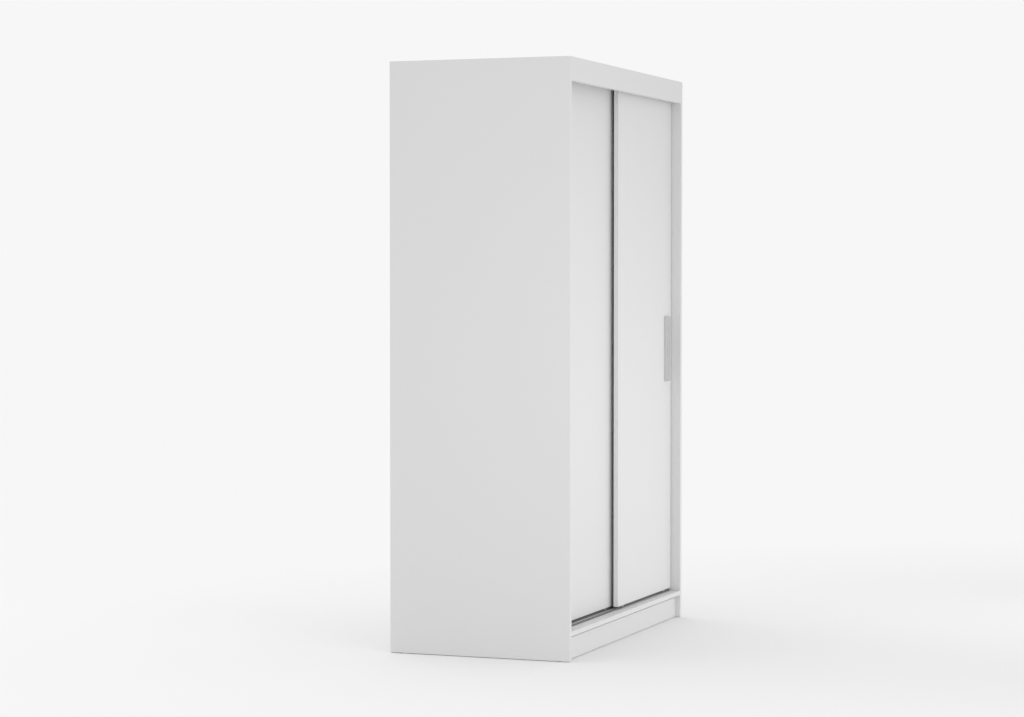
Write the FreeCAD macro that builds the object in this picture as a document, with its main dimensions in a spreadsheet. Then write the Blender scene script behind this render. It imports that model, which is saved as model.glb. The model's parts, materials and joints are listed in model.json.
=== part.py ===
import FreeCAD, Part

import os
import re
from collections import defaultdict

import Sketcher
from FreeCAD import Placement, Rotation, Vector

# A free-standing wardrobe with two sliding doors, in millimetres, +Z up.
# The origin is on the floor, in the middle of the footprint. The doors face -Y and slide along X.
# "Front door" is the door in the front track, closed against the right side panel. "Rear door" is the
# one in the rear track, closed against the left side panel.

# Driving dimensions: alias, value.
SIZES = [
    # carcass
    ("width", 1255),
    ("depth", 645),
    ("height", 2000),
    ("board", 18),
    ("base_board", 16),
    ("glide_height", 2),
    ("glide_radius", 8),
    ("glide_nail_radius", 1),
    ("glide_nail_length", 12),
    ("base_height", 84),
    ("plinth_setback", 18),
    ("plinth_rebate_height", 10),
    ("plinth_rebate_depth", 8),
    ("fascia_height", 79),
    ("partition_setback", 95),
    ("hat_shelf_height", 1650),
    ("shelf_first", 410),
    ("shelf_pitch", 310),
    ("shelf_play", 0.5),
    ("shelf_pin_inset", 50),
    # thin back panels in grooves
    ("back_thickness", 3),
    ("back_groove", 4),
    ("back_groove_depth", 8),
    ("back_engagement", 7),
    ("back_inset", 12),
    ("back_gap", 1),
    ("back_end_gap", 2),
    ("nail_radius", 0.7),
    ("nail_length", 18),
    ("nail_head_radius", 1.8),
    ("nail_head_height", 0.6),
    # cam fittings and dowels
    ("bolt_hole_radius", 2.5),
    ("bolt_hole_depth", 11.5),
    ("bolt_thread_radius", 2.45),
    ("bolt_thread_length", 11),
    ("bolt_collar_radius", 3.8),
    ("bolt_collar_length", 2),
    ("bolt_shank_radius", 2.6),
    ("bolt_neck_start", 25),
    ("bolt_neck_radius", 1.8),
    ("bolt_head_start", 29),
    ("bolt_head_radius", 3.2),
    ("bolt_length", 33),
    ("shank_bore_radius", 4),
    ("cam_distance", 34),
    ("cam_radius", 7.4),
    ("cam_height", 12.5),
    ("cam_bore_radius", 7.5),
    ("cam_bore_depth", 13.5),
    ("cam_mouth_radius", 3.6),
    ("cam_mouth_end", 1.5),
    ("cross_length", 6),
    ("cross_width", 1.4),
    ("cross_depth", 1.5),
    ("dowel_radius", 3.95),
    ("dowel_length", 30),
    ("dowel_bore_radius", 4),
    ("dowel_mate_depth", 10.5),
    ("dowel_board_depth", 20.5),
    # hanging rail, its sockets and the shelf pins
    ("rail_drop", 60),
    ("rail_width", 15),
    ("rail_height", 30),
    ("rail_wall", 1.2),
    ("socket_plate", 2),
    ("socket_plate_width", 22),
    ("socket_plate_height", 58),
    ("socket_wall", 2),
    ("socket_depth", 12),
    ("socket_play", 0.2),
    ("socket_screw_offset", 23),
    ("rail_end_play", 0.5),
    ("pin_radius", 2.45),
    ("pin_length", 16),
    ("pin_bore_radius", 2.5),
    ("pin_bore_depth", 8.5),
    ("pin_bury", 8),
    ("pin_play", 0.05),
    # countersunk wood screws
    ("screw_radius", 1.6),
    ("screw_head_radius", 3),
    ("screw_length", 14),
    ("long_screw_length", 30),
    ("screw_bore_radius", 1.65),
    ("screw_bore_spare", 0.5),
    ("screw_hole_radius", 1.7),
    ("countersink_radius", 3.1),
    # doors
    ("door_width", 625),
    ("door_thickness", 16),
    ("door_gap", 14),
    ("door_setback", 36),
    ("door_side_gap", 2.5),
    ("door_bottom", 111),
    ("door_top", 1962),
    ("bumper_radius", 5),
    ("bumper_thickness", 2),
    ("bumper_low", 300),
    ("bumper_high", 1700),
    # runners for the wheels, and the top track
    ("runner_height", 6),
    ("runner_width", 3),
    ("runner_crown", 1),
    ("runner_foot_height", 1),
    ("runner_foot_width", 5),
    ("runner_tongue_width", 2.8),
    ("runner_tongue_depth", 7),
    ("runner_groove_width", 3),
    ("runner_groove_depth", 7.5),
    ("track_end_gap", 0.5),
    ("track_screw_pitch", 285),
    ("channel_width", 20),
    ("channel_wall", 1.5),
    ("channel_depth", 22),
    # wheels and their housings
    ("wheel_radius", 14),
    ("wheel_root_radius", 12),
    ("wheel_root_half_width", 1.7),
    ("wheel_mouth_half_width", 2.4),
    ("wheel_rim_inner", 9.5),
    ("wheel_rim_half_width", 3.3),
    ("wheel_web_half_width", 1.2),
    ("wheel_hub_radius", 4.5),
    ("wheel_hub_half_width", 3.5),
    ("wheel_bore_radius", 2.05),
    ("wheel_lift", 0.3),
    ("wheel_inset", 70),
    ("axle_radius", 2),
    ("axle_bore_radius", 2.02),
    ("housing_length", 64),
    ("housing_width", 10),
    ("housing_height", 32),
    ("housing_slot_length", 34),
    ("housing_slot_width", 7.4),
    ("housing_slot_height", 22.5),
    ("housing_play", 0.2),
    ("flange_length", 92),
    ("flange_width", 14),
    ("flange_thickness", 2),
    ("flange_screw_offset", 38),
    # top guides
    ("guide_length", 40),
    ("guide_width", 19),
    ("guide_height", 10),
    ("guide_corner", 4),
    ("guide_inset", 45),
    ("guide_screw_offset", 12),
    # handles
    ("handle_length", 240),
    ("handle_width", 50),
    ("handle_proud", 9),
    ("handle_bottom", 888),
    ("handle_edge_gap", 35),
    ("handle_edge_round", 1),
    ("dish_width", 36),
    ("dish_depth", 1),
    ("handle_screw_pitch", 192),
    ("handle_screw_radius", 2),
    ("handle_screw_bite", 4.5),
    ("handle_bore_radius", 2.05),
    ("handle_bore_depth", 5),
    ("handle_door_hole_radius", 2.25),
    ("pan_head_radius", 4),
    ("pan_head_height", 2.4),
    # wall brackets
    ("bracket_leg", 40),
    ("bracket_width", 25),
    ("bracket_thickness", 2),
    ("bracket_place", 300),
    ("bracket_screw_reach", 28),
    ("bracket_screw_offset", 6.5),
    ("anchor_drop", 25),
    ("anchor_radius", 3),
]

# Places along the depth, measured from the middle of the footprint.
CARCASS_CAMS_Y = ("-200", "40", "270")
CARCASS_DOWELS_Y = ("-80", "160")
LEFT_SHELF_CAMS_Y = ("-180", "250")
RIGHT_SHELF_CAMS_Y = ("-150", "220")
LEFT_SHELF_DOWEL_Y = "50"
RIGHT_SHELF_DOWEL_Y = "20"
PARTITION_CAMS_Y = ("-130", "200")
PARTITION_DOWELS_Y = ("-60", "120")
FASCIA_DOWELS_X = ("-450", "-150", "150", "450")
RIB_DOWELS_Z = ("28", "56")
PLINTH_DOWEL_Z = "18"
FASCIA_DOWEL_DROP = "60"
GLIDES_Y = ("-285", "285")
PLINTH_GLIDES_X = ("-330", "330")
NAILS_ACROSS = ("60", "220", "380", "540")
SHELF_NAILS_ACROSS = ("140", "300", "460")
PARTITION_NAIL_COUNT = 9
LOOSE_SHELF_COUNT = 4

# Formulas that many pieces share.
INNER = "(width / 2 - board)"
FRONT = "(-depth / 2)"
REAR = "(depth / 2 - back_inset - back_groove / 2 - back_thickness / 2)"
FLOOR = "(base_height + base_board)"
CEILING = "(height - board)"
PARTITION_FRONT = f"({FRONT} + partition_setback)"
FRONT_DOOR_FACE = f"({FRONT} + door_setback)"
REAR_DOOR_FACE = f"({FRONT_DOOR_FACE} + door_thickness + door_gap)"
BETWEEN_DOORS = f"({FRONT_DOOR_FACE} + door_thickness + door_gap / 2)"
TRACK_SPACING = "(door_thickness + door_gap)"
RUNNERS_Y = [f"({face} + door_thickness / 2)" for face in (FRONT_DOOR_FACE, REAR_DOOR_FACE)]
TRACK_LENGTH = f"(2 * ({INNER} - track_end_gap))"
TRACK_START = f"(-{INNER} + track_end_gap)"
AXLE_HEIGHT = f"({FLOOR} + runner_height + wheel_lift + wheel_root_radius)"

DIRECTIONS = {
    "+X": Vector(1, 0, 0),
    "-X": Vector(-1, 0, 0),
    "+Y": Vector(0, 1, 0),
    "-Y": Vector(0, -1, 0),
    "+Z": Vector(0, 0, 1),
    "-Z": Vector(0, 0, -1),
}
OPPOSITE = {"+X": "-X", "-X": "+X", "+Y": "-Y", "-Y": "+Y", "+Z": "-Z", "-Z": "+Z"}

# Each face of a board by its outward normal: sketch plane, sketch offset (a size axis and its sign) and
# whether a cut into the board runs along the plane's normal.
FACES = {
    "-X": ("YZ", None, 1, True),
    "+X": ("YZ", 0, 1, False),
    "-Y": ("XZ", None, 1, False),
    "+Y": ("XZ", 1, -1, True),
    "-Z": ("XY", None, 1, True),
    "+Z": ("XY", 2, 1, False),
}
PLANE_AXES = {"XY": (0, 1), "XZ": (0, 2), "YZ": (1, 2)}

doc = FreeCAD.newDocument("Wardrobe")
sheet = doc.addObject("Spreadsheet::Sheet", "Sizes")
for row, (alias, value) in enumerate(SIZES, start=1):
    sheet.set(f"A{row}", alias)
    sheet.set(f"B{row}", str(value))
    sheet.setAlias(f"B{row}", alias)
doc.recompute()

nodes = {}


def linked(formula):
    """The formula with each size's name pointing at the sheet."""
    return re.sub(r"\b([a-z][a-z_]*)\b", r"Sizes.\1", formula)


def number(formula):
    """The formula's value now."""
    return float(sheet.evalExpression(linked(formula)))


def bind(feature, prop, formula):
    feature.setExpression(prop, linked(formula))


def place(piece, at, rotation=None):
    """Turn the piece, then put its origin at a point given by three formulas."""
    piece.Placement = Placement(Vector(0, 0, 0), rotation or Rotation())
    for axis, formula in zip("xyz", at):
        bind(piece, f"Placement.Base.{axis}", formula)


def turned(z_axis, x_axis=None):
    """The rotation that takes +Z to one direction and, if given, +X to another."""
    up = DIRECTIONS[z_axis]
    if x_axis is None:
        return Rotation(Vector(0, 0, 1), up)
    side = DIRECTIONS[x_axis]
    return Rotation(side, up.cross(side), up, "ZXY")


def shifted(point, direction, distance):
    """The point moved by a distance formula along one of the six directions."""
    axis = "XYZ".index(direction[1])
    moved = list(point)
    moved[axis] = f"({point[axis]} {direction[0]} {distance})"
    return tuple(moved)


# ---------------------------------------------------------------- sketches and features


def new_body(label):
    body = doc.addObject("PartDesign::Body", label)
    body.Label = label
    return body


def new_sketch(body, plane, offset="0"):
    """A sketch on one of the body's own origin planes, moved along the plane's normal."""
    sketch = body.newObject("Sketcher::SketchObject", f"{body.Name}_sketch")
    role = f"{plane}_Plane"
    support = next(plane for plane in body.Origin.OriginFeatures if plane.Role == role)
    sketch.AttachmentSupport = [(support, "")]
    sketch.MapMode = "FlatFace"
    bind(sketch, "AttachmentOffset.Base.z", offset)
    return sketch


def pin_point(sketch, geometry, vertex, x, y):
    """Tie one point of the sketch to the sketch's origin by two formulas."""
    for kind, formula in (("DistanceX", x), ("DistanceY", y)):
        constraint = Sketcher.Constraint(kind, -1, 1, geometry, vertex, number(formula))
        index = sketch.addConstraint(constraint)
        bind(sketch, f"Constraints[{index}]", formula)


def set_radius(sketch, geometry, radius):
    index = sketch.addConstraint(Sketcher.Constraint("Radius", geometry, number(radius)))
    bind(sketch, f"Constraints[{index}]", radius)


def add_outline(sketch, corners, arcs=()):
    """A closed outline through the corners. arcs lists (side, bulge, centre) for sides that are arcs.

    A side's number is that of the corner it starts at. Its ends are level with each other, and the
    bulge and the centre are the heights, above the sketch's origin, of its middle and its centre.
    """
    heights = {side: (bulge, centre) for side, bulge, centre in arcs}
    points = [Vector(number(x), number(y), 0) for x, y in corners]
    count = len(points)
    for side in range(count):
        following = (side + 1) % count
        start, end = points[side], points[following]
        if side not in heights:
            line = sketch.addGeometry(Part.LineSegment(start, end), False)
            pin_point(sketch, line, 1, *corners[side])
            pin_point(sketch, line, 2, *corners[following])
            continue
        bulge, centre = heights[side]
        middle = Vector((start.x + end.x) / 2, number(bulge), 0)
        arc = sketch.addGeometry(Part.Arc(start, middle, end), False)
        begins, ends = (2, 1) if arc_runs_back(sketch, arc, start) else (1, 2)
        pin_point(sketch, arc, begins, *corners[side])
        pin_point(sketch, arc, ends, *corners[following])
        index = sketch.addConstraint(Sketcher.Constraint("DistanceY", -1, 1, arc, 3, number(centre)))
        bind(sketch, f"Constraints[{index}]", centre)


def arc_runs_back(sketch, geometry, start):
    """True where an arc's own first point isn't the corner that the outline starts it from."""
    return sketch.getPoint(geometry, 1).distanceToPoint(start) > 1e-6


def add_rectangle(sketch, low, high):
    add_outline(sketch, [low, (high[0], low[1]), high, (low[0], high[1])])


def add_circle(sketch, x, y, radius):
    centre = Vector(number(x), number(y), 0)
    circle = sketch.addGeometry(Part.Circle(centre, Vector(0, 0, 1), number(radius)), False)
    set_radius(sketch, circle, radius)
    pin_point(sketch, circle, 3, x, y)


def add_upright_slot(sketch, width, height):
    """A slot outline round the sketch's origin: straight sides along Y and half-round ends."""
    half = f"({width}) / 2"
    straight = f"(({height}) - ({width})) / 2"
    corners = [
        (half, f"-{straight}"),
        (half, straight),
        (f"-{half}", straight),
        (f"-{half}", f"-{straight}"),
    ]
    ends = [(1, f"({height}) / 2", straight), (3, f"-({height}) / 2", f"-{straight}")]
    add_outline(sketch, corners, ends)


def pad(body, sketch, length):
    feature = body.newObject("PartDesign::Pad", f"{body.Name}_pad")
    feature.Profile = sketch
    bind(feature, "Length", length)
    return feature


def cut(body, sketch, kind, along_normal, depth=None):
    """A Pocket or Hole from the sketch, checked by the volume that it takes away."""
    doc.recompute()
    before = body.Shape.Volume
    feature = body.newObject(f"PartDesign::{kind}", f"{body.Name}_{kind.lower()}")
    feature.Profile = sketch
    feature.Reversed = along_normal
    if depth is not None:
        bind(feature, "Length", depth)
    else:
        doc.recompute()
        bind(feature, "Diameter", "screw_hole_radius * 2")
        feature.DepthType = "ThroughAll"
        feature.HoleCutType = "Countersink"
        bind(feature, "HoleCutDiameter", "countersink_radius * 2")
        feature.HoleCutCountersinkAngle = 90
    doc.recompute()
    if body.Shape.Volume >= before - 0.01:
        raise RuntimeError(f"{feature.Name} cuts nothing from {body.Label}")
    return feature


def pocket(body, sketch, depth, along_normal):
    return cut(body, sketch, "Pocket", along_normal, depth)


def countersunk_holes(body, plane, offset, centres, along_normal):
    """Countersunk screw holes right through the piece, widest at the sketch plane."""
    sketch = new_sketch(body, plane, offset)
    for x, y in centres:
        add_circle(sketch, x, y, "screw_hole_radius")
    return cut(body, sketch, "Hole", along_normal)


def revolve(body, corners):
    """A solid of revolution about +Z: each corner is a radius and a height."""
    sketch = new_sketch(body, "XZ")
    add_outline(sketch, corners)
    feature = body.newObject("PartDesign::Revolution", f"{body.Name}_revolution")
    feature.Profile = sketch
    feature.ReferenceAxis = (sketch, ["V_Axis"])
    feature.Angle = 360
    return feature


def round_upright_edges(body, base, radius, wanted):
    """Fillet the base feature's edges along Z whose middle points are wanted."""
    doc.recompute()
    edges = [
        f"Edge{index}"
        for index, edge in enumerate(base.Shape.Edges, start=1)
        if abs(edge.tangentAt(edge.FirstParameter).z) > 0.9 and wanted(edge.CenterOfMass)
    ]
    feature = body.newObject("PartDesign::Fillet", f"{body.Name}_rounding")
    feature.Base = (base, edges)
    bind(feature, "Radius", radius)


def cross_recess(body, height, along_normal):
    """A cross recess for a screwdriver, sunk into the face at the given height."""
    for half_x, half_y in (("cross_length", "cross_width"), ("cross_width", "cross_length")):
        sketch = new_sketch(body, "XY", height)
        low = (f"-{half_x} / 2", f"-{half_y} / 2")
        high = (f"{half_x} / 2", f"{half_y} / 2")
        add_rectangle(sketch, low, high)
        pocket(body, sketch, "cross_depth", along_normal)


def group(label, master, places):
    """One node made of copies of the master: places lists (point, rotation)."""
    copies = []
    for point, rotation in places:
        copy = doc.addObject("App::Link", f"{label}_copy")
        copy.LinkedObject = master
        place(copy, point, rotation)
        copies.append(copy)
    node = doc.addObject("Part::Compound", label)
    node.Label = label
    node.Links = copies
    nodes[label] = node
    return node


# ---------------------------------------------------------------- boards and what holds them together


class Board:
    """A rectangular board. Its low corner and its size are formulas, and its bores are drilled last."""

    def __init__(self, label, at, size):
        self.at = at
        self.size = size
        self.bores = defaultdict(list)
        self.body = new_body(label)
        outline = new_sketch(self.body, "XY")
        add_rectangle(outline, ("0", "0"), (size[0], size[1]))
        pad(self.body, outline, size[2])
        place(self.body, at)
        nodes[label] = self.body

    def in_face(self, face, point):
        """A point of the wardrobe in the coordinates of the sketch on one of the faces."""
        return tuple(f"({point[axis]}) - ({self.at[axis]})" for axis in PLANE_AXES[FACES[face][0]])

    def on_face(self, face, point):
        """The point moved straight onto the face."""
        axis = "XYZ".index(face[1])
        moved = list(point)
        moved[axis] = f"({self.at[axis]} + {self.size[axis]})" if face[0] == "+" else self.at[axis]
        return tuple(moved)

    def sketch_on(self, face):
        plane, size_axis, sign, _ = FACES[face]
        offset = "0" if size_axis is None else f"{sign} * ({self.size[size_axis]})"
        return new_sketch(self.body, plane, offset)

    def bore(self, face, point, radius, depth):
        """Note a round bore, so that equal bores in one face share a sketch."""
        self.bores[face, radius, depth].append(self.in_face(face, point))

    def mill(self, face, low, high, depth):
        """A rectangular pocket between two points of the wardrobe."""
        sketch = self.sketch_on(face)
        add_rectangle(sketch, self.in_face(face, low), self.in_face(face, high))
        pocket(self.body, sketch, depth, FACES[face][3])

    def drill(self):
        for (face, radius, depth), centres in self.bores.items():
            sketch = self.sketch_on(face)
            for x, y in centres:
                add_circle(sketch, x, y, radius)
            pocket(self.body, sketch, depth, FACES[face][3])


bolt_places = []
cam_places = []
dowel_places = []


def cam_joint(board, mate, point, direction, cam_face):
    """Join a board's end to a mate's face: a bolt stands in the mate and a cam in the board grips it.

    point is where the bolt's axis meets the mate's face, and direction runs from the mate into the board.
    """
    mate.bore(direction, point, "bolt_hole_radius", "bolt_hole_depth")
    board.bore(OPPOSITE[direction], point, "shank_bore_radius", "cam_distance")
    cam_centre = board.on_face(cam_face, shifted(point, direction, "cam_distance"))
    board.bore(cam_face, cam_centre, "cam_bore_radius", "cam_bore_depth")
    bolt_places.append((point, turned(direction)))
    cam_places.append((cam_centre, turned(OPPOSITE[cam_face], direction)))


def dowel_joint(board, mate, point, direction):
    """A wooden dowel between a mate's face and a board's end, on the same terms as cam_joint."""
    mate.bore(direction, point, "dowel_bore_radius", "dowel_mate_depth")
    board.bore(OPPOSITE[direction], point, "dowel_bore_radius", "dowel_board_depth")
    start = shifted(point, OPPOSITE[direction], "dowel_length / 3")
    dowel_places.append((start, turned(direction)))


def build_boards():
    between_sides = f"(2 * {INNER})"
    base_board_height = "(base_height - glide_height)"
    upright = "(height - glide_height)"
    plinth_y = f"({FRONT} + plinth_setback)"
    rib_y = f"({plinth_y} + board)"
    inner_depth = f"({REAR} - {PARTITION_FRONT})"
    bay = f"({INNER} - board / 2)"
    places = {
        "side_panel_left": (
            ("-width / 2", FRONT, "glide_height"),
            ("board", "depth", upright),
        ),
        "side_panel_right": (
            (INNER, FRONT, "glide_height"),
            ("board", "depth", upright),
        ),
        "top_panel": (
            (f"-{INNER}", f"({FRONT} + board)", CEILING),
            (between_sides, f"({REAR} - {FRONT} - board)", "board"),
        ),
        "bottom_panel": (
            (f"-{INNER}", FRONT, "base_height"),
            (between_sides, f"({REAR} - {FRONT})", "base_board"),
        ),
        "fascia": (
            (f"-{INNER}", FRONT, "(height - fascia_height)"),
            (between_sides, "board", "fascia_height"),
        ),
        "plinth_front": (
            (f"-{INNER}", plinth_y, "glide_height"),
            (between_sides, "board", base_board_height),
        ),
        "plinth_rear": (
            (f"-{INNER}", f"({REAR} - board)", "glide_height"),
            (between_sides, "board", base_board_height),
        ),
        "plinth_rib": (
            ("(-board / 2)", rib_y, "glide_height"),
            ("board", f"({REAR} - board - {rib_y})", base_board_height),
        ),
        "centre_partition": (
            ("(-board / 2)", PARTITION_FRONT, FLOOR),
            ("board", inner_depth, f"({CEILING} - {FLOOR})"),
        ),
        "hat_shelf_left": (
            (f"-{INNER}", PARTITION_FRONT, "hat_shelf_height"),
            (bay, inner_depth, "board"),
        ),
        "hat_shelf_right": (
            ("board / 2", PARTITION_FRONT, "hat_shelf_height"),
            (bay, inner_depth, "board"),
        ),
    }
    return {label: Board(label, at, size) for label, (at, size) in places.items()}


def join_boards(boards):
    """Cam joints and dowels between the boards.

    The thinner bottom panel has its fittings as far above its underside as the other boards do.
    """
    sides = (("side_panel_left", f"(-{INNER})", "+X"), ("side_panel_right", INNER, "-X"))
    top_middle = f"({CEILING} + board / 2)"
    bottom_middle = "(base_height + board / 2)"
    shelf_middle = "(hat_shelf_height + board / 2)"
    fascia_y = f"({FRONT} + board / 2)"
    plinth_y = f"({FRONT} + plinth_setback + board / 2)"
    rear_plinth_y = f"({REAR} - board / 2)"
    plinth_z = "(base_height + glide_height) / 2"

    for side, face_x, direction in sides:
        mate = boards[side]
        for label, middle in (("top_panel", top_middle), ("bottom_panel", bottom_middle)):
            for y in CARCASS_CAMS_Y:
                cam_joint(boards[label], mate, (face_x, y, middle), direction, "-Z")
            for y in CARCASS_DOWELS_Y:
                dowel_joint(boards[label], mate, (face_x, y, middle), direction)
        fascia_z = "(height - fascia_height / 2)"
        fascia = boards["fascia"]
        cam_joint(fascia, mate, (face_x, fascia_y, fascia_z), direction, "+Y")
        dowel_z = f"(height - {FASCIA_DOWEL_DROP})"
        dowel_joint(fascia, mate, (face_x, fascia_y, dowel_z), direction)
        plinths = (("plinth_front", plinth_y, "+Y"), ("plinth_rear", rear_plinth_y, "-Y"))
        for label, y, cam_face in plinths:
            cam_joint(boards[label], mate, (face_x, y, plinth_z), direction, cam_face)
            dowel_joint(boards[label], mate, (face_x, y, PLINTH_DOWEL_Z), direction)

    partition = boards["centre_partition"]
    shelf_ends = (
        ("hat_shelf_left", boards["side_panel_left"], f"(-{INNER})", "+X", LEFT_SHELF_CAMS_Y),
        ("hat_shelf_left", partition, "(-board / 2)", "-X", LEFT_SHELF_CAMS_Y),
        ("hat_shelf_right", partition, "(board / 2)", "+X", RIGHT_SHELF_CAMS_Y),
        ("hat_shelf_right", boards["side_panel_right"], INNER, "-X", RIGHT_SHELF_CAMS_Y),
    )
    dowel_y = {"hat_shelf_left": LEFT_SHELF_DOWEL_Y, "hat_shelf_right": RIGHT_SHELF_DOWEL_Y}
    for label, mate, face_x, direction, cams_y in shelf_ends:
        for y in cams_y:
            cam_joint(boards[label], mate, (face_x, y, shelf_middle), direction, "-Z")
        dowel_joint(boards[label], mate, (face_x, dowel_y[label], shelf_middle), direction)

    ends = (("bottom_panel", FLOOR, "+Z"), ("top_panel", CEILING, "-Z"))
    for label, z, direction in ends:
        for y in PARTITION_CAMS_Y:
            cam_joint(partition, boards[label], ("0", y, z), direction, "-X")
        for y in PARTITION_DOWELS_Y:
            dowel_joint(partition, boards[label], ("0", y, z), direction)

    for x in FASCIA_DOWELS_X:
        point = (x, f"({FRONT} + board)", top_middle)
        dowel_joint(boards["top_panel"], boards["fascia"], point, "+Y")
    for z in RIB_DOWELS_Z:
        front_point = ("0", f"({FRONT} + plinth_setback + board)", z)
        rear_point = ("0", f"({REAR} - board)", z)
        dowel_joint(boards["plinth_rib"], boards["plinth_front"], front_point, "+Y")
        dowel_joint(boards["plinth_rib"], boards["plinth_rear"], rear_point, "-Y")


def mill_boards(boards):
    """The long grooves for the back panels and the runners, and the rebate along the plinth's top."""
    groove_rear = "(depth / 2 - back_inset)"
    groove_front = f"({groove_rear} - back_groove)"
    for label, face in (("side_panel_left", "+X"), ("side_panel_right", "-X")):
        low = ("0", groove_front, "glide_height")
        high = ("0", groove_rear, "height")
        boards[label].mill(face, low, high, "back_groove_depth")
    for y in RUNNERS_Y:
        low = (f"-{INNER}", f"({y} - runner_groove_width / 2)", "0")
        high = (INNER, f"({y} + runner_groove_width / 2)", "0")
        boards["bottom_panel"].mill("+Z", low, high, "runner_groove_depth")
    low = (f"-{INNER}", "0", "(base_height - plinth_rebate_height)")
    high = (INNER, "0", "base_height")
    boards["plinth_front"].mill("-Y", low, high, "plinth_rebate_depth")


def build_loose_shelves(boards):
    """Shelves of the right bay, each on four pins."""
    pin_places = []
    pin_depths = (
        f"({PARTITION_FRONT} + shelf_pin_inset)",
        f"({REAR} - shelf_pin_inset)",
    )
    walls = (
        (boards["centre_partition"], "(board / 2)", "+X"),
        (boards["side_panel_right"], INNER, "-X"),
    )
    for index in range(LOOSE_SHELF_COUNT):
        shelf_z = f"(shelf_first + {index} * shelf_pitch)"
        at = ("board / 2 + shelf_play", PARTITION_FRONT, shelf_z)
        length = f"({INNER} - board / 2 - 2 * shelf_play)"
        width = f"({REAR} - {PARTITION_FRONT} - shelf_play)"
        Board(f"shelf_{index + 1}", at, (length, width, "board"))
        pin_z = f"({shelf_z} - pin_radius - pin_play)"
        for wall, face_x, direction in walls:
            for y in pin_depths:
                wall.bore(direction, (face_x, y, pin_z), "pin_bore_radius", "pin_bore_depth")
                start = shifted((face_x, y, pin_z), OPPOSITE[direction], "pin_bury")
                pin_places.append((start, turned(direction)))
    pin = doc.addObject("Part::Cylinder", "one_shelf_pin")
    bind(pin, "Radius", "pin_radius")
    bind(pin, "Height", "pin_length")
    group("shelf_pins", pin, pin_places)


def build_back(boards):
    """Two thin back panels, and the nails that hold them to the rear edges of the boards."""
    panel_length = f"({INNER} + back_engagement - back_gap / 2)"
    panel_height = "(height - base_height - 2 * back_end_gap)"
    bottom = "(base_height + back_end_gap)"
    starts = {"back_panel_left": f"(-{INNER} - back_engagement)", "back_panel_right": "(back_gap / 2)"}
    for label, start in starts.items():
        size = (panel_length, "back_thickness", panel_height)
        boards[label] = Board(label, (start, REAR, bottom), size)

    nail = new_body("one_nail")
    profile = [
        ("0", "nail_head_height"),
        ("0", "-nail_length"),
        ("nail_radius", "-nail_length + nail_radius"),
        ("nail_radius", "0"),
        ("nail_head_radius", "0"),
        ("nail_head_radius", "nail_head_height"),
    ]
    revolve(nail, profile)
    rear_face = f"({REAR} + back_thickness)"
    places = []
    rows = [("(base_height + board / 2)", NAILS_ACROSS), (f"({CEILING} + board / 2)", NAILS_ACROSS)]
    rows.append(("(hat_shelf_height + board / 2)", SHELF_NAILS_ACROSS))
    for z, across in rows:
        for x in across:
            places.append(((x, rear_face, z), turned("+Y")))
            places.append(((f"-{x}", rear_face, z), turned("+Y")))
    for index in range(PARTITION_NAIL_COUNT):
        z = f"({FLOOR} + ({CEILING} - {FLOOR}) * {index + 1} / {PARTITION_NAIL_COUNT + 1})"
        for x in ("(board / 4)", "(-board / 4)"):
            places.append(((x, rear_face, z), turned("+Y")))
    group("back_nails", nail, places)


def build_cam_fittings():
    bolt = new_body("one_cam_bolt")
    profile = [
        ("0", "-bolt_thread_length"),
        ("bolt_thread_radius", "-bolt_thread_length"),
        ("bolt_thread_radius", "0"),
        ("bolt_collar_radius", "0"),
        ("bolt_collar_radius", "bolt_collar_length"),
        ("bolt_shank_radius", "bolt_collar_length"),
        ("bolt_shank_radius", "bolt_neck_start"),
        ("bolt_neck_radius", "bolt_neck_start"),
        ("bolt_neck_radius", "bolt_head_start"),
        ("bolt_head_radius", "bolt_head_start + bolt_head_radius / 2"),
        ("bolt_head_radius", "bolt_length - bolt_head_radius / 2"),
        ("bolt_head_radius / 2", "bolt_length"),
        ("0", "bolt_length"),
    ]
    revolve(bolt, profile)
    group("cam_bolts", bolt, bolt_places)

    # The cam's visible face is at height 0, and the bolt comes in from -X.
    cam = new_body("one_cam_lock")
    disc = new_sketch(cam, "XY")
    add_circle(disc, "0", "0", "cam_radius")
    pad(cam, disc, "cam_height")
    mouth = new_sketch(cam, "YZ", "cam_mouth_end")
    add_circle(mouth, "0", "board / 2", "cam_mouth_radius")
    pocket(cam, mouth, "cam_radius + cam_mouth_end", False)
    cross_recess(cam, "0", True)
    group("cam_locks", cam, cam_places)

    dowel = doc.addObject("Part::Cylinder", "one_dowel")
    bind(dowel, "Radius", "dowel_radius")
    bind(dowel, "Height", "dowel_length")
    group("dowels", dowel, dowel_places)


def build_glides():
    glide = new_body("one_glide")
    profile = [
        ("0", "0"),
        ("glide_radius - glide_height / 3", "0"),
        ("glide_radius", "glide_height / 3"),
        ("glide_radius", "glide_height"),
        ("glide_nail_radius", "glide_height"),
        ("glide_nail_radius", "glide_height + glide_nail_length"),
        ("0", "glide_height + glide_nail_length"),
    ]
    revolve(glide, profile)
    places = []
    for y in GLIDES_Y:
        for x in ("(-width / 2 + board / 2)", "(width / 2 - board / 2)"):
            places.append(((x, y, "0"), None))
    for y in (f"({FRONT} + plinth_setback + board / 2)", f"({REAR} - board / 2)"):
        for x in PLINTH_GLIDES_X:
            places.append(((x, y, "0"), None))
    places.append((("0", "0", "0"), None))
    group("glides", glide, places)


# ---------------------------------------------------------------- screws


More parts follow.
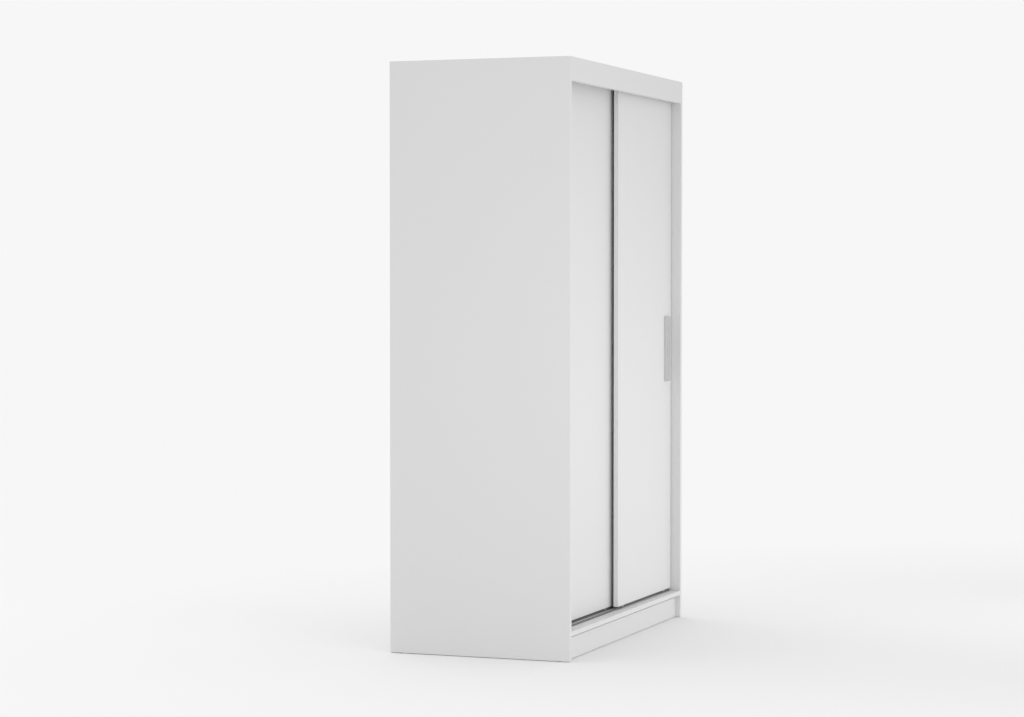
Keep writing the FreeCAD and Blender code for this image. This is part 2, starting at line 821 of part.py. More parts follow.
def countersunk_screw(label, length):
    """A wood screw standing on its tip: the flat of its head is at height 0 and it points down."""
    screw = new_body(label)
    profile = [
        ("0", "0"),
        ("screw_head_radius", "0"),
        ("screw_radius", "-(screw_head_radius - screw_radius)"),
        ("screw_radius", f"-{length} + 2 * screw_radius"),
        ("0", f"-{length}"),
    ]
    revolve(screw, profile)
    cross_recess(screw, "0", False)
    return screw


def pilot(board, face, point, length):
    """The pilot bore under a screw whose head stands clear of the face."""
    board.bore(face, point, "screw_bore_radius", f"({length} + screw_bore_spare)")


# ---------------------------------------------------------------- rail, brackets, tracks and bumpers


def build_rail(boards, screw):
    """The oval hanging rail of the left bay, between two sockets."""
    rail_z = "(hat_shelf_height - rail_drop)"
    rail_y = f"({PARTITION_FRONT} + {REAR}) / 2"
    walls = (
        (boards["side_panel_left"], f"(-{INNER})", "+X"),
        (boards["centre_partition"], "(-board / 2)", "-X"),
    )
    end_gap = "(socket_plate + rail_end_play)"

    rail = new_body("hanging_rail")
    section = new_sketch(rail, "YZ")
    add_upright_slot(section, "rail_width", "rail_height")
    add_upright_slot(section, "rail_width - 2 * rail_wall", "rail_height - 2 * rail_wall")
    pad(rail, section, f"{INNER} - board / 2 - 2 * {end_gap}")
    place(rail, (f"(-{INNER} + {end_gap})", rail_y, rail_z))
    nodes["hanging_rail"] = rail

    # In the socket's own frame the rail's upright axis is Y and the wall is the XY plane.
    socket = new_body("one_rail_socket")
    plate = new_sketch(socket, "XY")
    add_upright_slot(plate, "socket_plate_width", "socket_plate_height")
    pad(socket, plate, "socket_plate")
    cup = new_sketch(socket, "XY")
    rim = "2 * (socket_play + socket_wall)"
    add_upright_slot(cup, f"rail_width + {rim}", f"rail_height + {rim}")
    pad(socket, cup, "socket_depth")
    hollow = new_sketch(socket, "XY", "socket_plate")
    add_upright_slot(hollow, "rail_width + 2 * socket_play", "rail_height + 2 * socket_play")
    pocket(socket, hollow, "socket_depth", True)
    centres = [("0", "socket_screw_offset"), ("0", "-socket_screw_offset")]
    countersunk_holes(socket, "XY", "socket_plate", centres, False)

    socket_places = []
    screw_places = []
    for wall, face_x, direction in walls:
        side = "+Y" if direction == "+X" else "-Y"
        socket_places.append(((face_x, rail_y, rail_z), turned(direction, side)))
        for sign in "+-":
            z = f"({rail_z} {sign} socket_screw_offset)"
            head = shifted((face_x, rail_y, z), direction, "socket_plate")
            screw_places.append((head, turned(direction)))
            pilot(wall, direction, (face_x, rail_y, z), "screw_length - socket_plate")
    group("rail_sockets", socket, socket_places)
    group("rail_screws", screw, screw_places)


def build_brackets(boards, screw):
    """Two steel angles at the top rear edge, through which the wardrobe is screwed to a wall."""
    bracket = new_body("one_wall_bracket")
    section = new_sketch(bracket, "YZ", "-bracket_width / 2")
    corners = [
        ("0", "0"),
        ("0", "-bracket_leg"),
        ("-bracket_thickness", "-bracket_leg"),
        ("-bracket_thickness", "-bracket_thickness"),
        ("-bracket_leg", "-bracket_thickness"),
        ("-bracket_leg", "0"),
    ]
    add_outline(section, corners)
    pad(bracket, section, "bracket_width")
    anchor = new_sketch(bracket, "XZ")
    add_circle(anchor, "0", "-anchor_drop", "anchor_radius")
    pocket(bracket, anchor, "bracket_thickness", True)
    centres = [(f"{sign}bracket_screw_offset", "-bracket_screw_reach") for sign in ("", "-")]
    countersunk_holes(bracket, "XY", "-bracket_thickness", centres, True)

    bracket_places = []
    screw_places = []
    anchor_z = f"({CEILING} - anchor_drop)"
    for label, x in (("back_panel_left", "-bracket_place"), ("back_panel_right", "bracket_place")):
        bracket_places.append(((x, REAR, CEILING), None))
        boards[label].bore("-Y", (x, REAR, anchor_z), "anchor_radius", "back_thickness")
        for sign in "+-":
            screw_x = f"({x} {sign} bracket_screw_offset)"
            screw_y = f"({REAR} - bracket_screw_reach)"
            head = (screw_x, screw_y, f"({CEILING} - bracket_thickness)")
            screw_places.append((head, turned("-Z")))
            point = (screw_x, screw_y, CEILING)
            pilot(boards["top_panel"], "-Z", point, "screw_length - bracket_thickness")
    group("wall_brackets", bracket, bracket_places)
    group("bracket_screws", screw, screw_places)


def build_runners():
    """The two low beads on the bottom panel that the wheels' grooves ride on, pressed into grooves."""
    runner = new_body("one_runner")
    section = new_sketch(runner, "YZ")
    shoulder = "(runner_height - runner_crown)"
    half_section = [
        ("runner_tongue_width / 2", "-runner_tongue_depth"),
        ("runner_tongue_width / 2", "0"),
        ("runner_foot_width / 2", "0"),
        ("runner_foot_width / 2", "runner_foot_height"),
        ("runner_width / 2", "runner_foot_height"),
        ("runner_width / 2", shoulder),
    ]
    mirrored = [(f"-({y})", z) for y, z in reversed(half_section)]
    crown_radius = "(runner_width ^ 2 / 4 + runner_crown ^ 2) / (2 * runner_crown)"
    crown_side = len(half_section) - 1
    crown = (crown_side, "runner_height", f"runner_height - {crown_radius}")
    add_outline(section, half_section + mirrored, [crown])
    pad(runner, section, TRACK_LENGTH)
    group("bottom_runners", runner, [((TRACK_START, y, FLOOR), None) for y in RUNNERS_Y])


def build_top_track(boards, screw):
    """An aluminium web with four flanges hanging from it, two round each door's top edge."""
    screw_steps = [f"({step} * track_screw_pitch)" for step in range(-2, 3)]
    screw_centres = [(f"{x} - {TRACK_START}", "0") for x in screw_steps]
    screw_places = []

    # The middle between the doors is at Y = 0 in this section.
    top = new_body("top_track")
    section = new_sketch(top, "YZ")
    door_half = f"({TRACK_SPACING} / 2)"
    far = f"({door_half} + channel_width / 2)"
    near = f"({door_half} - channel_width / 2)"
    walls = [
        (f"({far} + channel_wall)", far),
        (near, f"({near} - channel_wall)"),
        (f"-({near} - channel_wall)", f"-{near}"),
        (f"-{far}", f"-({far} + channel_wall)"),
    ]
    corners = [(walls[0][0], "0")]
    for index, (high_y, low_y) in enumerate(walls):
        if index:
            corners.append((high_y, "-channel_wall"))
        corners += [(high_y, "-channel_depth"), (low_y, "-channel_depth")]
        if index < len(walls) - 1:
            corners.append((low_y, "-channel_wall"))
    corners.append((walls[-1][1], "0"))
    add_outline(section, corners)
    pad(top, section, TRACK_LENGTH)
    countersunk_holes(top, "XY", "-channel_wall", screw_centres, True)
    place(top, (TRACK_START, BETWEEN_DOORS, CEILING))
    nodes["top_track"] = top
    for x in screw_steps:
        screw_places.append(((x, BETWEEN_DOORS, f"({CEILING} - channel_wall)"), turned("-Z")))
        point = (x, BETWEEN_DOORS, CEILING)
        pilot(boards["top_panel"], "-Z", point, "screw_length - channel_wall")
    group("track_screws", screw, screw_places)


def build_bumpers():
    """Rubber discs on the side panels' inner faces, where each door's edge arrives."""
    bumper = doc.addObject("Part::Cylinder", "one_bumper")
    bind(bumper, "Radius", "bumper_radius")
    bind(bumper, "Height", "bumper_thickness")
    places = []
    for face_x, direction in ((f"(-{INNER})", "+X"), (INNER, "-X")):
        for face_y in (FRONT_DOOR_FACE, REAR_DOOR_FACE):
            for z in ("bumper_low", "bumper_high"):
                point = (face_x, f"({face_y} + door_thickness / 2)", z)
                places.append((point, turned(direction)))
    group("door_bumpers", bumper, places)


# ---------------------------------------------------------------- doors


def roller_housing():
    """A housing let into a door's bottom edge: height 0 is that edge, and the axle is above it."""
    housing = new_body("one_roller_housing")
    flange = new_sketch(housing, "XY", "-flange_thickness")
    add_rectangle(
        flange, ("-flange_length / 2", "-flange_width / 2"), ("flange_length / 2", "flange_width / 2")
    )
    pad(housing, flange, "flange_thickness")
    block = new_sketch(housing, "XY")
    add_rectangle(
        block, ("-housing_length / 2", "-housing_width / 2"), ("housing_length / 2", "housing_width / 2")
    )
    pad(housing, block, "housing_height")
    slot = new_sketch(housing, "XY", "-flange_thickness")
    add_rectangle(
        slot,
        ("-housing_slot_length / 2", "-housing_slot_width / 2"),
        ("housing_slot_length / 2", "housing_slot_width / 2"),
    )
    pocket(housing, slot, "flange_thickness + housing_slot_height", True)
    axle_hole = new_sketch(housing, "XZ", "-housing_width / 2")
    add_circle(axle_hole, "0", f"{AXLE_HEIGHT} - door_bottom", "axle_bore_radius")
    pocket(housing, axle_hole, "housing_width", True)
    centres = [(f"{sign}flange_screw_offset", "0") for sign in ("", "-")]
    countersunk_holes(housing, "XY", "-flange_thickness", centres, True)
    return housing


def top_guide():
    """A nylon block on a door's top edge that runs in a channel of the top track."""
    guide = new_body("one_top_guide")
    base = new_sketch(guide, "XY")
    add_rectangle(base, ("-guide_length / 2", "-guide_width / 2"), ("guide_length / 2", "guide_width / 2"))
    block = pad(guide, base, "guide_height")
    round_upright_edges(guide, block, "guide_corner", lambda middle: True)
    centres = [(f"{sign}guide_screw_offset", "0") for sign in ("", "-")]
    countersunk_holes(guide, "XY", "guide_height", centres, False)
    return guide


def handle_screw():
    """A machine screw: its head's underside is at height 0 and its shank points down."""
    screw = new_body("one_handle_screw")
    profile = [
        ("0", "pan_head_height"),
        ("pan_head_radius * 0.7", "pan_head_height"),
        ("pan_head_radius", "pan_head_height / 2"),
        ("pan_head_radius", "0"),
        ("handle_screw_radius", "0"),
        ("handle_screw_radius", "-(door_thickness + handle_screw_bite)"),
        ("0", "-(door_thickness + handle_screw_bite)"),
    ]
    revolve(screw, profile)
    cross_recess(screw, "pan_head_height", False)
    return screw


def build_handle(label, x, face_y):
    """An aluminium bar with a shallow dish along its front, its back flat on the door's face."""
    handle = new_body(label)
    section = new_sketch(handle, "XY")
    half = "handle_width / 2"
    dish_edge = "dish_width / 2"
    dish_radius = "(dish_width ^ 2 / 4 + dish_depth ^ 2) / (2 * dish_depth)"
    corners = [
        (half, "0"),
        (half, "-handle_proud"),
        (dish_edge, "-handle_proud"),
        (f"-{dish_edge}", "-handle_proud"),
        (f"-{half}", "-handle_proud"),
        (f"-{half}", "0"),
    ]
    dish_floor = "(-handle_proud + dish_depth)"
    add_outline(section, corners, [(2, dish_floor, f"{dish_floor} - {dish_radius}")])
    bar = pad(handle, section, "handle_length")
    corner_y = -number("handle_proud")
    corner_x = number(half)
    round_upright_edges(
        handle,
        bar,
        "handle_edge_round",
        lambda middle: middle.y < corner_y + 0.01 and abs(middle.x) > corner_x - 0.01,
    )
    bores = new_sketch(handle, "XZ")
    for sign in "+-":
        z = f"(handle_length {sign} handle_screw_pitch) / 2"
        add_circle(bores, "0", z, "handle_bore_radius")
    pocket(handle, bores, "handle_bore_depth", True)
    place(handle, (x, face_y, "handle_bottom"))
    nodes[label] = handle


def build_wheel(label, x, y):
    """A nylon wheel with a groove round its rim: its axis is along Y."""
    wheel = new_body(label)
    half_profile = [
        ("wheel_bore_radius", "wheel_hub_half_width"),
        ("wheel_hub_radius", "wheel_hub_half_width"),
        ("wheel_hub_radius", "wheel_web_half_width"),
        ("wheel_rim_inner", "wheel_web_half_width"),
        ("wheel_rim_inner", "wheel_rim_half_width"),
        ("wheel_radius", "wheel_rim_half_width"),
        ("wheel_radius", "wheel_mouth_half_width"),
        ("wheel_root_radius", "wheel_root_half_width"),
    ]
    mirrored = [(radius, f"-({height})") for radius, height in reversed(half_profile)]
    revolve(wheel, half_profile + mirrored)
    place(wheel, (x, y, AXLE_HEIGHT), turned("+Y"))
    nodes[label] = wheel


def build_door(name, left_x, face_y, handle_x, masters):
    """One door: its panel, handle, rollers and guides, and the screws that hold them."""
    door_height = "(door_top - door_bottom)"
    panel_at = (left_x, face_y, "door_bottom")
    panel = Board(f"{name}_panel", panel_at, ("door_width", "door_thickness", door_height))
    middle_y = f"({face_y} + door_thickness / 2)"
    rear_y = f"({face_y} + door_thickness)"
    right_x = f"({left_x} + door_width)"

    build_handle(f"{name}_handle", handle_x, face_y)
    handle_screws = []
    for sign in "+-":
        z = f"(handle_bottom + (handle_length {sign} handle_screw_pitch) / 2)"
        panel.bore("+Y", (handle_x, rear_y, z), "handle_door_hole_radius", "door_thickness")
        handle_screws.append(((handle_x, rear_y, z), turned("+Y")))
    group(f"{name}_handle_screws", masters["handle_screw"], handle_screws)

    housings = []
    axles = []
    roller_screws = []
    half_length = "(housing_length / 2 + housing_play)"
    half_width = "(housing_width / 2 + housing_play)"
    for side, x in (("left", f"({left_x} + wheel_inset)"), ("right", f"({right_x} - wheel_inset)")):
        housings.append(((x, middle_y, "door_bottom"), None))
        low = (f"({x} - {half_length})", f"({middle_y} - {half_width})", "door_bottom")
        high = (f"({x} + {half_length})", f"({middle_y} + {half_width})", "door_bottom")
        panel.mill("-Z", low, high, "housing_height + housing_play")
        axles.append(((x, f"({middle_y} - housing_width / 2)", AXLE_HEIGHT), turned("+Y")))
        for sign in "+-":
            screw_x = f"({x} {sign} flange_screw_offset)"
            head = (screw_x, middle_y, "(door_bottom - flange_thickness)")
            roller_screws.append((head, turned("-Z")))
            point = (screw_x, middle_y, "door_bottom")
            pilot(panel, "-Z", point, "screw_length - flange_thickness")
        build_wheel(f"{name}_wheel_{side}", x, middle_y)
    group(f"{name}_roller_housings", masters["housing"], housings)
    group(f"{name}_axles", masters["axle"], axles)
    group(f"{name}_roller_screws", masters["screw"], roller_screws)

    guides = []
    guide_screws = []
    for x in (f"({left_x} + guide_inset)", f"({right_x} - guide_inset)"):
        guides.append(((x, middle_y, "door_top"), None))
        for sign in "+-":
            screw_x = f"({x} {sign} guide_screw_offset)"
            guide_screws.append(((screw_x, middle_y, "(door_top + guide_height)"), None))
            point = (screw_x, middle_y, "door_top")
            pilot(panel, "+Z", point, "long_screw_length - guide_height")
    group(f"{name}_top_guides", masters["guide"], guides)
    group(f"{name}_guide_screws", masters["long_screw"], guide_screws)
    panel.drill()


def build_doors(screw):
    axle = doc.addObject("Part::Cylinder", "one_axle")
    bind(axle, "Radius", "axle_radius")
    bind(axle, "Height", "housing_width")
    masters = {
        "screw": screw,
        "long_screw": countersunk_screw("one_long_screw", "long_screw_length"),
        "handle_screw": handle_screw(),
        "housing": roller_housing(),
        "guide": top_guide(),
        "axle": axle,
    }
    closed_right = f"({INNER} - door_side_gap - door_width)"
    closed_left = f"(-{INNER} + door_side_gap)"
    handle_reach = f"({INNER} - door_side_gap - handle_edge_gap - handle_width / 2)"
    build_door("front_door", closed_right, FRONT_DOOR_FACE, handle_reach, masters)
    build_door("rear_door", closed_left, REAR_DOOR_FACE, f"(-{handle_reach})", masters)


# ---------------------------------------------------------------- the whole wardrobe


def check_document():
    """Stop if any object failed to recompute, or if a node's shape is missing or invalid."""
    for item in doc.Objects:
        if "Invalid" in item.State or "Error" in item.State:
            raise RuntimeError(f"{item.Name} failed: {item.State}")
    for label, node in nodes.items():
        if node.Label != label:
            raise RuntimeError(f"{label} is labelled {node.Label}")
        if node.Shape.isNull() or not node.Shape.isValid() or not node.Shape.Solids:
            raise RuntimeError(f"{label} has no valid solid")


def main():
    boards = build_boards()
    join_boards(boards)
    build_loose_shelves(boards)
    build_back(boards)
    screw = countersunk_screw("one_screw", "screw_length")
    build_rail(boards, screw)
    build_brackets(boards, screw)
    build_runners()
    build_top_track(boards, screw)
    for board in boards.values():
        board.drill()
    mill_boards(boards)
    build_cam_fittings()
    build_glides()
    build_bumpers()
    build_doors(screw)
    doc.recompute()
    check_document()
    os.makedirs("parts", exist_ok=True)
    for label, node in nodes.items():
        node.Shape.exportStep(f"parts/{label}.step")
        print(f"{label}: {len(node.Shape.Solids)} solid(s), {node.Shape.Volume / 1000:.1f} cm3")
    print(f"{len(nodes)} nodes")


main()
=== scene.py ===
import json
import math

import bpy
from mathutils import Euler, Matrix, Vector

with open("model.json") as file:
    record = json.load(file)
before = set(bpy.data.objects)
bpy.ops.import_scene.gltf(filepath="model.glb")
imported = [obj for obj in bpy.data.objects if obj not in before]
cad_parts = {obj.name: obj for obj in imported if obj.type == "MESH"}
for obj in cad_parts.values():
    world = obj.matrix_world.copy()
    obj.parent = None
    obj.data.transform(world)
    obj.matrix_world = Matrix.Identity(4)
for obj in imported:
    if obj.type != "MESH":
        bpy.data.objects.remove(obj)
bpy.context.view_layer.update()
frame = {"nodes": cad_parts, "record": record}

# A white wardrobe with two sliding doors, in metres, +Z up, the doors facing -Y.
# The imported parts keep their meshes. This script gives them softened edges and their materials, and
# adds the floor, the light and the camera.

NODES = frame["nodes"]
scene = bpy.context.scene

# ---------------------------------------------------------------- camera, floor and light

CAMERA_PLACE = (-8.7657, -3.2041, 1.2709)
CAMERA_YAW = math.radians(20.764)
CAMERA_PITCH = math.radians(1.7595)
# The lens and the sensor are in millimetres.
CAMERA_LENS = 92.157
CAMERA_SENSOR_WIDTH = 36.0
CAMERA_REACH = 500.0

# The sky has two strengths: one is how bright it is seen, the other is the light that it gives.
SKY_SEEN = 0.930
SKY_STRENGTH = 0.74
PLAIN_WHITE = (1, 1, 1, 1)

# The floor's colour is darker by FLOOR_SHADE at one place, and by nothing from FLOOR_SHADE_RADIUS
# outwards. This painted shade evens out the pool of light that the softboxes leave there.
FLOOR_SIZE = 400.0
FLOOR_ALBEDO = 0.95
FLOOR_SHADE = 0.145
FLOOR_SHADE_PLACE = (-0.3, -2.4, 0.0)
FLOOR_SHADE_RADIUS = 4.5

# The sun's angles are in degrees. At bearing 0 it shines along +Y, at bearing 90 along -X.
SUN_STRENGTH = 0.86
SUN_SOFTNESS = 100
SUN_HEIGHT = 60
SUN_BEARING = 165

# Low lights in front of the doors. Each faces the point named aim.
SOFTBOX_SPREAD = math.radians(80)
SOFTBOXES = {
    "left": {
        "power": 9.8,
        "width": 3.0,
        "height": 0.8,
        "place": (-2.6, -3.4, 0.9),
        "aim": (-0.5, -0.2, 0.9),
    },
    "right": {
        "power": 2.2,
        "width": 1.6,
        "height": 0.6,
        "place": (1.1, -2.6, 0.5),
        "aim": (0.3, -0.3, 0.4),
    },
}

LIGHT_BOUNCES = 12
DIFFUSE_BOUNCES = 8


def make_camera():
    data = bpy.data.cameras.new("camera")
    data.lens = CAMERA_LENS
    data.sensor_width = CAMERA_SENSOR_WIDTH
    data.clip_end = CAMERA_REACH
    camera = bpy.data.objects.new("camera", data)
    camera.location = CAMERA_PLACE
    upright = math.radians(90) - CAMERA_PITCH
    camera.rotation_euler = Euler((upright, 0.0, CAMERA_YAW - math.radians(90)))
    scene.collection.objects.link(camera)
    scene.camera = camera


def make_sky():
    """A plain white sky, seen at one strength and lighting the scene at another."""
    world = bpy.data.worlds.new("sky")
    world.use_nodes = True
    tree = world.node_tree
    tree.nodes.clear()
    seen = tree.nodes.new("ShaderNodeBackground")
    seen.inputs["Strength"].default_value = SKY_SEEN
    seen.inputs["Color"].default_value = PLAIN_WHITE
    lighting = tree.nodes.new("ShaderNodeBackground")
    lighting.inputs["Strength"].default_value = SKY_STRENGTH
    lighting.inputs["Color"].default_value = PLAIN_WHITE
    path = tree.nodes.new("ShaderNodeLightPath")
    choice = tree.nodes.new("ShaderNodeMixShader")
    output = tree.nodes.new("ShaderNodeOutputWorld")
    tree.links.new(path.outputs["Is Camera Ray"], choice.inputs[0])
    tree.links.new(lighting.outputs[0], choice.inputs[1])
    tree.links.new(seen.outputs[0], choice.inputs[2])
    tree.links.new(choice.outputs[0], output.inputs["Surface"])
    scene.world = world


def make_sun():
    """A very soft light from high up behind, so that light falls evenly on the whole floor."""
    data = bpy.data.lights.new("sun", "SUN")
    data.energy = SUN_STRENGTH
    data.angle = math.radians(SUN_SOFTNESS)
    sun = bpy.data.objects.new("sun", data)
    tilt = math.radians(90 - SUN_HEIGHT)
    sun.rotation_euler = Euler((tilt, 0.0, math.radians(SUN_BEARING)))
    scene.collection.objects.link(sun)


def make_softboxes():
    """Large soft lights, hidden from the camera and from reflections."""
    for name, box in SOFTBOXES.items():
        data = bpy.data.lights.new(name, "AREA")
        data.energy = box["power"]
        data.shape = "RECTANGLE"
        data.size = box["width"]
        data.size_y = box["height"]
        data.spread = SOFTBOX_SPREAD
        softbox = bpy.data.objects.new(name, data)
        softbox.location = box["place"]
        direction = Vector(box["aim"]) - Vector(box["place"])
        softbox.rotation_euler = direction.to_track_quat("-Z", "Y").to_euler()
        softbox.visible_camera = False
        softbox.visible_glossy = False
        scene.collection.objects.link(softbox)


def make_floor(material):
    mesh = bpy.data.meshes.new("floor")
    half = FLOOR_SIZE / 2
    corners = [(-half, -half, 0), (half, -half, 0), (half, half, 0), (-half, half, 0)]
    mesh.from_pydata(corners, [], [(0, 1, 2, 3)])
    mesh.materials.append(material)
    floor = bpy.data.objects.new("floor", mesh)
    scene.collection.objects.link(floor)


scene.view_settings.view_transform = "Standard"
scene.view_settings.look = "None"
scene.cycles.max_bounces = LIGHT_BOUNCES
scene.cycles.diffuse_bounces = DIFFUSE_BOUNCES

# ---------------------------------------------------------------- materials

METAL = 1.0
WHITE = 0.70
DOOR_WHITE = WHITE * 1.01
HARDBOARD_WHITE = WHITE * 0.97
# Noise scales for drawn aluminium, along its drawing lines and across them.
SCALE_ALONG_LINES = 12.0
SCALE_ACROSS_LINES = 1800.0
COAT_IOR = 1.6


class Surface:
    """A Principled material and short ways to add nodes to it."""

    def __init__(self, name, colour, roughness, metallic=0.0):
        self.material = bpy.data.materials.new(name)
        self.material.use_nodes = True
        self.tree = self.material.node_tree
        self.shader = self.tree.nodes["Principled BSDF"]
        self.shader.inputs["Base Color"].default_value = (*colour, 1)
        self.shader.inputs["Roughness"].default_value = roughness
        self.shader.inputs["Metallic"].default_value = metallic
        self.place = self.node("ShaderNodeTexCoord").outputs["Object"]

    def node(self, kind):
        return self.tree.nodes.new(kind)

    def link(self, source, target):
        self.tree.links.new(source, target)

    def fill(self, socket, value):
        """Give a socket another node's output, a colour or a number."""
        if isinstance(value, bpy.types.NodeSocket):
            self.link(value, socket)
        elif isinstance(value, tuple):
            socket.default_value = (*value, 1)
        else:
            socket.default_value = value

    def stretched(self, scale):
        """The piece's own coordinates, scaled by a factor for each axis."""
        mapping = self.node("ShaderNodeMapping")
        mapping.inputs["Scale"].default_value = scale
        self.link(self.place, mapping.inputs["Vector"])
        return mapping.outputs["Vector"]

    def noise(self, scale, detail, place=None):
        texture = self.node("ShaderNodeTexNoise")
        texture.inputs["Scale"].default_value = scale
        texture.inputs["Detail"].default_value = detail
        self.link(place or self.place, texture.inputs["Vector"])
        return texture.outputs["Fac"]

    def stretched_noise(self, scale, detail):
        return self.noise(1.0, detail, self.stretched(scale))

    def ramp(self, factor, low, high, start=0.0, end=1.0):
        """Turn a factor that runs from start to end into a number that runs from low to high."""
        spread = self.node("ShaderNodeMapRange")
        spread.inputs["From Min"].default_value = start
        spread.inputs["From Max"].default_value = end
        spread.inputs["To Min"].default_value = low
        spread.inputs["To Max"].default_value = high
        self.link(factor, spread.inputs["Value"])
        return spread.outputs["Result"]

    def colours(self, factor, first, second):
        """Mix two colours: the first at factor 0, the second at factor 1."""
        mix = self.node("ShaderNodeMix")
        mix.data_type = "RGBA"
        self.fill(mix.inputs["A"], first)
        self.fill(mix.inputs["B"], second)
        self.fill(mix.inputs["Factor"], factor)
        return mix.outputs["Result"]

    def arithmetic(self, operation, first, second=0.0):
        result = self.node("ShaderNodeMath")
        result.operation = operation
        for socket, value in zip(result.inputs, (first, second)):
            self.fill(socket, value)
        return result.outputs["Value"]

    def bump(self, height, distance, strength):
        bump = self.node("ShaderNodeBump")
        bump.inputs["Distance"].default_value = distance
        bump.inputs["Strength"].default_value = strength
        self.link(height, bump.inputs["Height"])
        self.link(bump.outputs["Normal"], self.shader.inputs["Normal"])

    def colour(self, source):
        self.link(source, self.shader.inputs["Base Color"])

    def roughness(self, source):
        self.link(source, self.shader.inputs["Roughness"])


def grey(value):
    return (value, value, value)


def melamine(name, white):
    """Matt white melamine: a fine pearl texture, and a trace of unevenness in tone and gloss."""
    surface = Surface(name, grey(white), roughness=0.45)
    broad = surface.noise(scale=2.2, detail=3.0)
    surface.colour(surface.colours(broad, grey(white * 0.992), grey(white * 1.006)))
    pearl = surface.noise(scale=850.0, detail=3.0)
    surface.roughness(surface.ramp(pearl, low=0.38, high=0.52))
    surface.bump(pearl, distance=0.00006, strength=0.6)
    return surface.material


def aluminium(name, tone, roughness, along, coat=0.0):
    """Satin anodised aluminium with drawing lines along one axis."""
    surface = Surface(name, grey(tone), roughness, METAL)
    scale = [SCALE_ACROSS_LINES] * 3
    scale["XYZ".index(along)] = SCALE_ALONG_LINES
    lines = surface.stretched_noise(tuple(scale), detail=4.0)
    surface.colour(surface.colours(lines, grey(tone * 0.93), grey(tone * 1.05)))
    surface.roughness(surface.ramp(lines, low=roughness - 0.06, high=roughness + 0.08))
    surface.bump(lines, distance=0.00003, strength=0.5)
    surface.shader.inputs["Coat Weight"].default_value = coat
    surface.shader.inputs["Coat IOR"].default_value = COAT_IOR
    return surface.material


def plated(name, tone, roughness):
    """Bright metal, a little clouded."""
    surface = Surface(name, tone, roughness, METAL)
    clouds = surface.noise(scale=180.0, detail=4.0)
    surface.roughness(surface.ramp(clouds, low=roughness * 0.8, high=roughness * 1.3))
    return surface.material


def moulded(name, colour, roughness):
    """Moulded plastic or rubber with a fine spark-eroded grain."""
    surface = Surface(name, colour, roughness)
    grain = surface.noise(scale=1400.0, detail=2.0)
    surface.roughness(surface.ramp(grain, low=roughness - 0.06, high=roughness + 0.06))
    surface.bump(grain, distance=0.00005, strength=0.5)
    return surface.material


def fibreboard(name):
    """Thin hardboard: lacquered white on both faces, raw brown at its edges."""
    surface = Surface(name, grey(WHITE), roughness=0.6)
    dark = (0.150, 0.080, 0.040)
    brown = (0.235, 0.135, 0.070)
    tan = (0.30, 0.185, 0.105)
    fibres = surface.stretched_noise((700.0, 700.0, 160.0), detail=6.0)
    patches = surface.noise(scale=6.0, detail=4.0)
    strands = surface.ramp(fibres, low=0.0, high=1.0, start=0.35, end=0.65)
    raw = surface.colours(strands, dark, brown)
    raw = surface.colours(surface.ramp(patches, low=0.0, high=0.35), raw, tan)
    geometry = surface.node("ShaderNodeNewGeometry")
    split = surface.node("ShaderNodeSeparateXYZ")
    surface.link(geometry.outputs["True Normal"], split.inputs["Vector"])
    facing = surface.arithmetic("ABSOLUTE", split.outputs["Y"])
    painted = surface.arithmetic("GREATER_THAN", facing, 0.5)
    surface.colour(surface.colours(painted, raw, grey(HARDBOARD_WHITE)))
    surface.bump(fibres, distance=0.00012, strength=0.5)
    return surface.material


def beech(name):
    """Beech with its grain along X."""
    surface = Surface(name, (0.52, 0.34, 0.19), roughness=0.6)
    grain = surface.stretched_noise((300.0, 900.0, 900.0), detail=4.0)
    surface.colour(surface.colours(grain, (0.44, 0.27, 0.14), (0.60, 0.41, 0.24)))
    surface.bump(grain, distance=0.00008, strength=0.5)
    return surface.material


def studio_floor(name):
    """Matt paper, with painted shade round the place where the softboxes shine on it."""
    surface = Surface(name, grey(FLOOR_ALBEDO), roughness=1.0)
    surface.shader.inputs["Specular IOR Level"].default_value = 0.0
    distance = surface.node("ShaderNodeVectorMath")
    distance.operation = "DISTANCE"
    surface.link(surface.place, distance.inputs[0])
    distance.inputs[1].default_value = FLOOR_SHADE_PLACE
    # Painted shade: the floor's colour grows darker towards FLOOR_SHADE_PLACE.
    floor_painted_shade = surface.ramp(
        distance.outputs["Value"], low=1.0, high=0.0, start=0.0, end=FLOOR_SHADE_RADIUS
    )
    surface.colour(surface.colours(floor_painted_shade, grey(FLOOR_ALBEDO), grey(FLOOR_ALBEDO - FLOOR_SHADE)))
    return surface.material


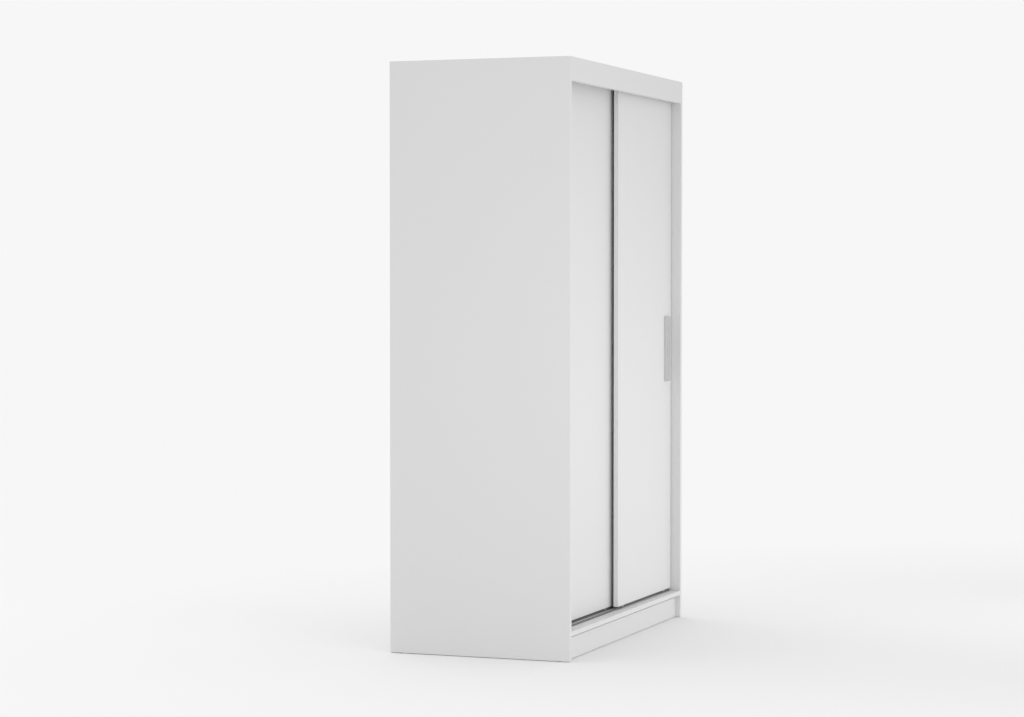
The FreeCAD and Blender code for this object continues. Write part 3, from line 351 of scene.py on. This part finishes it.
MATERIALS = {
    "white_board": melamine("white_board", WHITE),
    "door_board": melamine("door_board", DOOR_WHITE),
    "hardboard": fibreboard("hardboard"),
    "track_aluminium": aluminium("track_aluminium", 0.72, 0.36, "X"),
    "handle_aluminium": aluminium("handle_aluminium", 0.68, 0.45, "Z", coat=1.0),
    "runner_plastic": moulded("runner_plastic", grey(0.13), 0.4),
    "chrome": plated("chrome", (0.78, 0.79, 0.80), 0.08),
    "zinc_plated_steel": plated("zinc_plated_steel", (0.60, 0.61, 0.63), 0.28),
    "die_cast_zinc": plated("die_cast_zinc", (0.50, 0.51, 0.53), 0.45),
    "beech": beech("beech"),
    "glide_plastic": moulded("glide_plastic", grey(0.03), 0.5),
    "bumper_rubber": moulded("bumper_rubber", grey(0.62), 0.55),
    "grey_nylon": moulded("grey_nylon", grey(0.035), 0.45),
    "wheel_nylon": moulded("wheel_nylon", (0.72, 0.72, 0.69), 0.4),
}

# ---------------------------------------------------------------- the parts' finish

BOARD_SLOTS = ("white_board", "door_board")
BOARD_ARRIS = 0.0008
METAL_ARRIS = 0.0004
SHARP = math.radians(40)
SAME_POINT = 0.00001


def soften(piece, width):
    """Round off the sharp edges a little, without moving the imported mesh."""
    weld = piece.modifiers.new("weld", "WELD")
    weld.merge_threshold = SAME_POINT
    bevel = piece.modifiers.new("arris", "BEVEL")
    bevel.width = width
    bevel.segments = 2
    bevel.limit_method = "ANGLE"
    bevel.angle_limit = SHARP
    bevel.use_clamp_overlap = True
    bevel.harden_normals = False
    normals = piece.modifiers.new("normals", "WEIGHTED_NORMAL")
    normals.keep_sharp = False


def dress_parts():
    for entry in frame["record"]["subparts"]:
        piece = NODES[entry["node"]]
        slot = entry["material_slot"]
        piece.data.materials.clear()
        piece.data.materials.append(MATERIALS[slot])
        # The hardboard stays sharp, because softening it drew false thin lines across its faces.
        if slot != "hardboard":
            soften(piece, BOARD_ARRIS if slot in BOARD_SLOTS else METAL_ARRIS)


make_camera()
make_sky()
make_sun()
make_softboxes()
make_floor(studio_floor("studio_floor"))
dress_parts()
